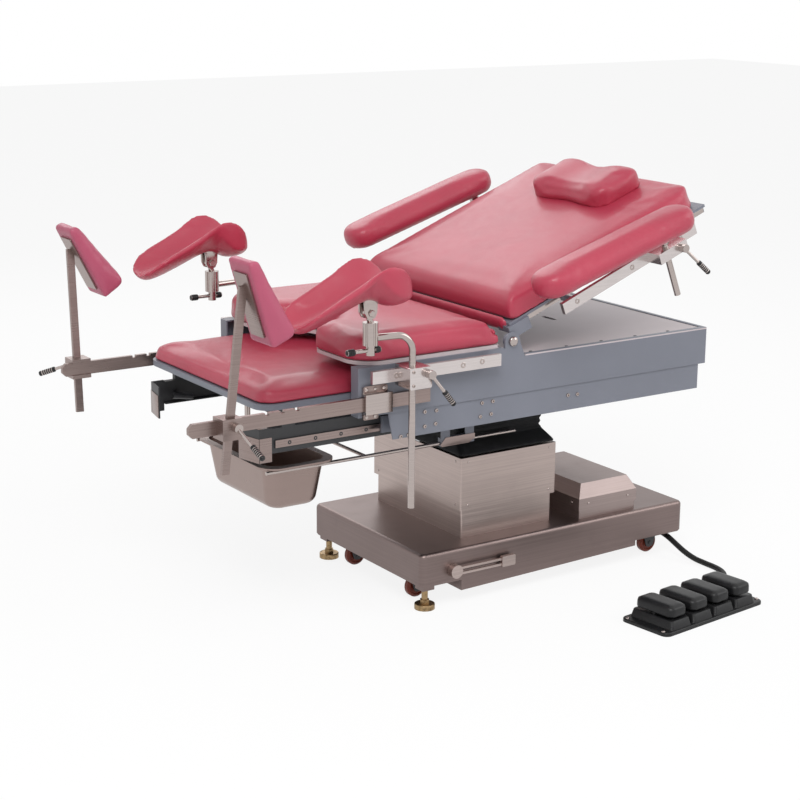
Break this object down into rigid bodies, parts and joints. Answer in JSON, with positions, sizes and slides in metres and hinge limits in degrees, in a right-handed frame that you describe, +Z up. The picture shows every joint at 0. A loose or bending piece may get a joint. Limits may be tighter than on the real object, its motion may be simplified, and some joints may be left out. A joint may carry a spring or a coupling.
{
  "type": "gynecological examination bed",
  "caption": "Powered examination bed on a lifting column, with a reclining back, a sliding leg section, knee crutches, foot supports, armrests and a basin.",
  "frame": {"origin": "centre of the bounding box in plan, on the floor", "axes": "+X towards the head end along the bed, +Y to the far side, +Z up"},
  "size_m": [1.348, 1.0281, 0.9185],
  "materials": {
    "pink_leatherette": "satin",
    "rose_leatherette": "satin",
    "frame_paint": "satin",
    "deck_paint": "satin",
    "stainless": "brushed",
    "polished_steel": "polished",
    "dark_steel": "satin",
    "lift_aluminium": "anodised",
    "black_plastic": "matt",
    "black_rubber": "matt",
    "brass": "turned",
    "wheel_resin": "satin"
  },
  "bodies": {
    "base": {"base_cover": "stainless", "base_chassis": "dark_steel", "column_skirt_lower": "stainless", "lift_column_outer": "lift_aluminium", "control_box": "stainless", "caster_forks": "dark_steel", "foot_switch_housing": "black_plastic", "foot_switch_cable": "black_rubber"},
    "skirt_middle": {"column_skirt_middle": "stainless"},
    "lift": {"column_skirt_upper": "stainless", "lift_column_inner": "lift_aluminium", "bellows": "black_rubber"},
    "table": {"table_frame": "frame_paint", "table_top_cover": "deck_paint", "seat_board": "deck_paint", "seat_cushion": "pink_leatherette", "seat_rails": "stainless", "bar_brackets": "stainless"},
    "basin_carriage": {"basin_rods": "polished_steel"},
    "basin": {"basin": "stainless"},
    "leg_section": {"leg_board": "frame_paint", "leg_cushion": "pink_leatherette", "leg_slides": "dark_steel"},
    "backrest": {"back_frame": "frame_paint", "back_cushion": "pink_leatherette", "back_rails": "stainless"},
    "pillow": {"pillow": "pink_leatherette"},
    "brake_lever": {"brake_lever": "stainless"},
    "wheel_front_near": {"wheel_front_near": "wheel_resin"},
    "wheel_front_far": {"wheel_front_far": "wheel_resin"},
    "wheel_rear_near": {"wheel_rear_near": "wheel_resin"},
    "wheel_rear_far": {"wheel_rear_far": "wheel_resin"},
    "levelling_foot_near": {"levelling_foot_near": "brass"},
    "levelling_foot_far": {"levelling_foot_far": "brass"},
    "pedal_1": {"pedal_1": "black_plastic"},
    "pedal_2": {"pedal_2": "black_plastic"},
    "pedal_3": {"pedal_3": "black_plastic"},
    "pedal_4": {"pedal_4": "black_plastic"},
    "support_bar_near": {"support_bar_near": "stainless"},
    "foot_post_near": {"foot_post_near": "stainless", "foot_pad_near": "rose_leatherette"},
    "post_lever_near": {"post_lever_near": "polished_steel"},
    "crutch_rod_near": {"crutch_rod_near": "polished_steel"},
    "crutch_saddle_near": {"crutch_saddle_near": "pink_leatherette"},
    "t_handle_near": {"t_handle_near": "polished_steel"},
    "crutch_lever_near": {"crutch_lever_near": "polished_steel"},
    "armrest_rod_near": {"armrest_rod_near": "polished_steel"},
    "armrest_pad_near": {"armrest_pad_near": "pink_leatherette"},
    "armrest_lever_near": {"armrest_lever_near": "polished_steel"},
    "support_bar_far": {"support_bar_far": "stainless"},
    "foot_post_far": {"foot_post_far": "stainless", "foot_pad_far": "rose_leatherette"},
    "post_lever_far": {"post_lever_far": "polished_steel"},
    "crutch_rod_far": {"crutch_rod_far": "polished_steel"},
    "crutch_saddle_far": {"crutch_saddle_far": "pink_leatherette"},
    "t_handle_far": {"t_handle_far": "polished_steel"},
    "crutch_lever_far": {"crutch_lever_far": "polished_steel"},
    "armrest_rod_far": {"armrest_rod_far": "polished_steel"},
    "armrest_pad_far": {"armrest_pad_far": "pink_leatherette"},
    "armrest_lever_far": {"armrest_lever_far": "polished_steel"}
  },
  "joints": [
    {"name": "lift_slide", "type": "slide", "parent": "base", "child": "lift", "axis": [0, 0, 1], "range_m": [0, 0.2]},
    {"name": "skirt_slide", "type": "slide", "parent": "base", "child": "skirt_middle", "axis": [0, 0, 1], "range_m": [0, 0.1]},
    {"name": "table_tilt", "type": "hinge", "parent": "lift", "child": "table", "pos_m": [0.19445, 0.09875, 0.385], "axis": [0, 1, 0], "range_deg": [-12, 12], "deforming": ["bellows"]},
    {"name": "leg_slide", "type": "slide", "parent": "table", "child": "leg_section", "axis": [1, 0, 0], "range_m": [-0.18, 0.19]},
    {"name": "backrest_hinge", "type": "hinge", "parent": "table", "child": "backrest", "pos_m": [0.10945, 0.09875, 0.592], "axis": [0, 1, 0], "range_deg": [-43, 21.5]},
    {"name": "pillow_slide", "type": "slide", "parent": "backrest", "child": "pillow", "axis": [0.9304, 0, 0.3665], "range_m": [-0.15, 0.03]},
    {"name": "basin_rod_slide", "type": "slide", "parent": "table", "child": "basin_carriage", "axis": [1, 0, 0], "range_m": [0, 0.18]},
    {"name": "basin_slide", "type": "slide", "parent": "basin_carriage", "child": "basin", "axis": [1, 0, 0], "range_m": [0, 0.05]},
    {"name": "brake_pivot", "type": "hinge", "parent": "base", "child": "brake_lever", "pos_m": [0.01145, -0.12525, 0.084], "axis": [0, 1, 0], "range_deg": [0, 15]},
    {"name": "wheel_front_near_spin", "type": "hinge", "parent": "base", "child": "wheel_front_near", "pos_m": [-0.02055, -0.02625, 0.025], "axis": [0, 1, 0], "continuous": true},
    {"name": "wheel_front_far_spin", "type": "hinge", "parent": "base", "child": "wheel_front_far", "pos_m": [-0.02055, 0.22375, 0.025], "axis": [0, 1, 0], "continuous": true},
    {"name": "wheel_rear_near_spin", "type": "hinge", "parent": "base", "child": "wheel_rear_near", "pos_m": [0.61245, -0.06925, 0.025], "axis": [0, 1, 0], "continuous": true},
    {"name": "wheel_rear_far_spin", "type": "hinge", "parent": "base", "child": "wheel_rear_far", "pos_m": [0.61245, 0.26675, 0.025], "axis": [0, 1, 0], "continuous": true},
    {"name": "levelling_screw_near", "type": "hinge", "parent": "base", "child": "levelling_foot_near", "pos_m": [-0.04555, -0.10025, 0], "axis": [0, 0, 1], "range_deg": [-180, 180]},
    {"name": "levelling_screw_far", "type": "hinge", "parent": "base", "child": "levelling_foot_far", "pos_m": [-0.04555, 0.29775, 0], "axis": [0, 0, 1], "range_deg": [-180, 180]},
    {"name": "pedal_rock_1", "type": "hinge", "parent": "base", "child": "pedal_1", "pos_m": [0.32723, -0.44505, 0.031], "axis": [0.9925, 0.1219, 0], "range_deg": [-5, 5], "stiffness_Nm_per_rad": 4},
    {"name": "pedal_rock_2", "type": "hinge", "parent": "base", "child": "pedal_2", "pos_m": [0.39671, -0.43652, 0.031], "axis": [0.9925, 0.1219, 0], "range_deg": [-5, 5], "stiffness_Nm_per_rad": 4},
    {"name": "pedal_rock_3", "type": "hinge", "parent": "base", "child": "pedal_3", "pos_m": [0.46619, -0.42799, 0.031], "axis": [0.9925, 0.1219, 0], "range_deg": [-5, 5], "stiffness_Nm_per_rad": 4},
    {"name": "pedal_rock_4", "type": "hinge", "parent": "base", "child": "pedal_4", "pos_m": [0.53567, -0.41946, 0.031], "axis": [0.9925, 0.1219, 0], "range_deg": [-5, 5], "stiffness_Nm_per_rad": 4},
    {"name": "bar_slide_near", "type": "slide", "parent": "table", "child": "support_bar_near", "axis": [-1, 0, 0], "range_m": [-0.02, 0.12]},
    {"name": "post_slide_near", "type": "slide", "parent": "support_bar_near", "child": "foot_post_near", "axis": [0.038, -0.1477, 0.9883], "range_m": [-0.06, 0.06]},
    {"name": "post_lever_turn_near", "type": "hinge", "parent": "support_bar_near", "child": "post_lever_near", "pos_m": [-0.57055, -0.22825, 0.511], "axis": [0, 1, 0], "range_deg": [-60, 60]},
    {"name": "crutch_slide_near", "type": "slide", "parent": "table", "child": "crutch_rod_near", "axis": [0, 0, 1], "range_m": [-0.03, 0.12]},
    {"name": "saddle_tilt_near", "type": "hinge", "parent": "crutch_rod_near", "child": "crutch_saddle_near", "pos_m": [-0.27755, -0.23225, 0.702], "axis": [0, 1, 0], "range_deg": [-20, 20]},
    {"name": "t_handle_turn_near", "type": "hinge", "parent": "crutch_rod_near", "child": "t_handle_near", "pos_m": [-0.27155, -0.23225, 0.636], "axis": [0, 0, 1], "range_deg": [-90, 90]},
    {"name": "crutch_lever_turn_near", "type": "hinge", "parent": "table", "child": "crutch_lever_near", "pos_m": [-0.15155, -0.26125, 0.569], "axis": [0, 1, 0], "range_deg": [-60, 60]},
    {"name": "armrest_slide_near", "type": "slide", "parent": "backrest", "child": "armrest_rod_near", "axis": [-0.3665, 0, 0.9304], "range_m": [0, 0.05]},
    {"name": "armrest_swing_near", "type": "hinge", "parent": "armrest_rod_near", "child": "armrest_pad_near", "pos_m": [0.48441, -0.24625, 0.7397], "axis": [-0.3665, 0, 0.9304], "range_deg": [0, 20]},
    {"name": "armrest_lever_turn_near", "type": "hinge", "parent": "backrest", "child": "armrest_lever_near", "pos_m": [0.50868, -0.26125, 0.76538], "axis": [0, 1, 0], "range_deg": [-60, 60]},
    {"name": "bar_slide_far", "type": "slide", "parent": "table", "child": "support_bar_far", "axis": [-1, 0, 0], "range_m": [-0.02, 0.12]},
    {"name": "post_slide_far", "type": "slide", "parent": "support_bar_far", "child": "foot_post_far", "axis": [0.038, 0.1477, 0.9883], "range_m": [-0.06, 0.06]},
    {"name": "post_lever_turn_far", "type": "hinge", "parent": "support_bar_far", "child": "post_lever_far", "pos_m": [-0.60655, 0.42575, 0.511], "axis": [0, 1, 0], "range_deg": [-60, 60]},
    {"name": "crutch_slide_far", "type": "slide", "parent": "table", "child": "crutch_rod_far", "axis": [0, 0, 1], "range_m": [-0.03, 0.12]},
    {"name": "saddle_tilt_far", "type": "hinge", "parent": "crutch_rod_far", "child": "crutch_saddle_far", "pos_m": [-0.27755, 0.42975, 0.702], "axis": [0, 1, 0], "range_deg": [-20, 20]},
    {"name": "t_handle_turn_far", "type": "hinge", "parent": "crutch_rod_far", "child": "t_handle_far", "pos_m": [-0.27155, 0.42975, 0.636], "axis": [0, 0, 1], "range_deg": [-90, 90]},
    {"name": "crutch_lever_turn_far", "type": "hinge", "parent": "table", "child": "crutch_lever_far", "pos_m": [-0.15155, 0.45875, 0.569], "axis": [0, 1, 0], "range_deg": [-60, 60]},
    {"name": "armrest_slide_far", "type": "slide", "parent": "backrest", "child": "armrest_rod_far", "axis": [-0.3665, 0, 0.9304], "range_m": [0, 0.05]},
    {"name": "armrest_swing_far", "type": "hinge", "parent": "armrest_rod_far", "child": "armrest_pad_far", "pos_m": [0.48441, 0.44375, 0.7397], "axis": [0.3665, 0, -0.9304], "range_deg": [0, 20]},
    {"name": "armrest_lever_turn_far", "type": "hinge", "parent": "backrest", "child": "armrest_lever_far", "pos_m": [0.50868, 0.45875, 0.76538], "axis": [0, 1, 0], "range_deg": [-60, 60]}
  ],
  "couplings": [
    {"joint": "skirt_slide", "follows": "lift_slide", "ratio": 0.5}
  ]
}
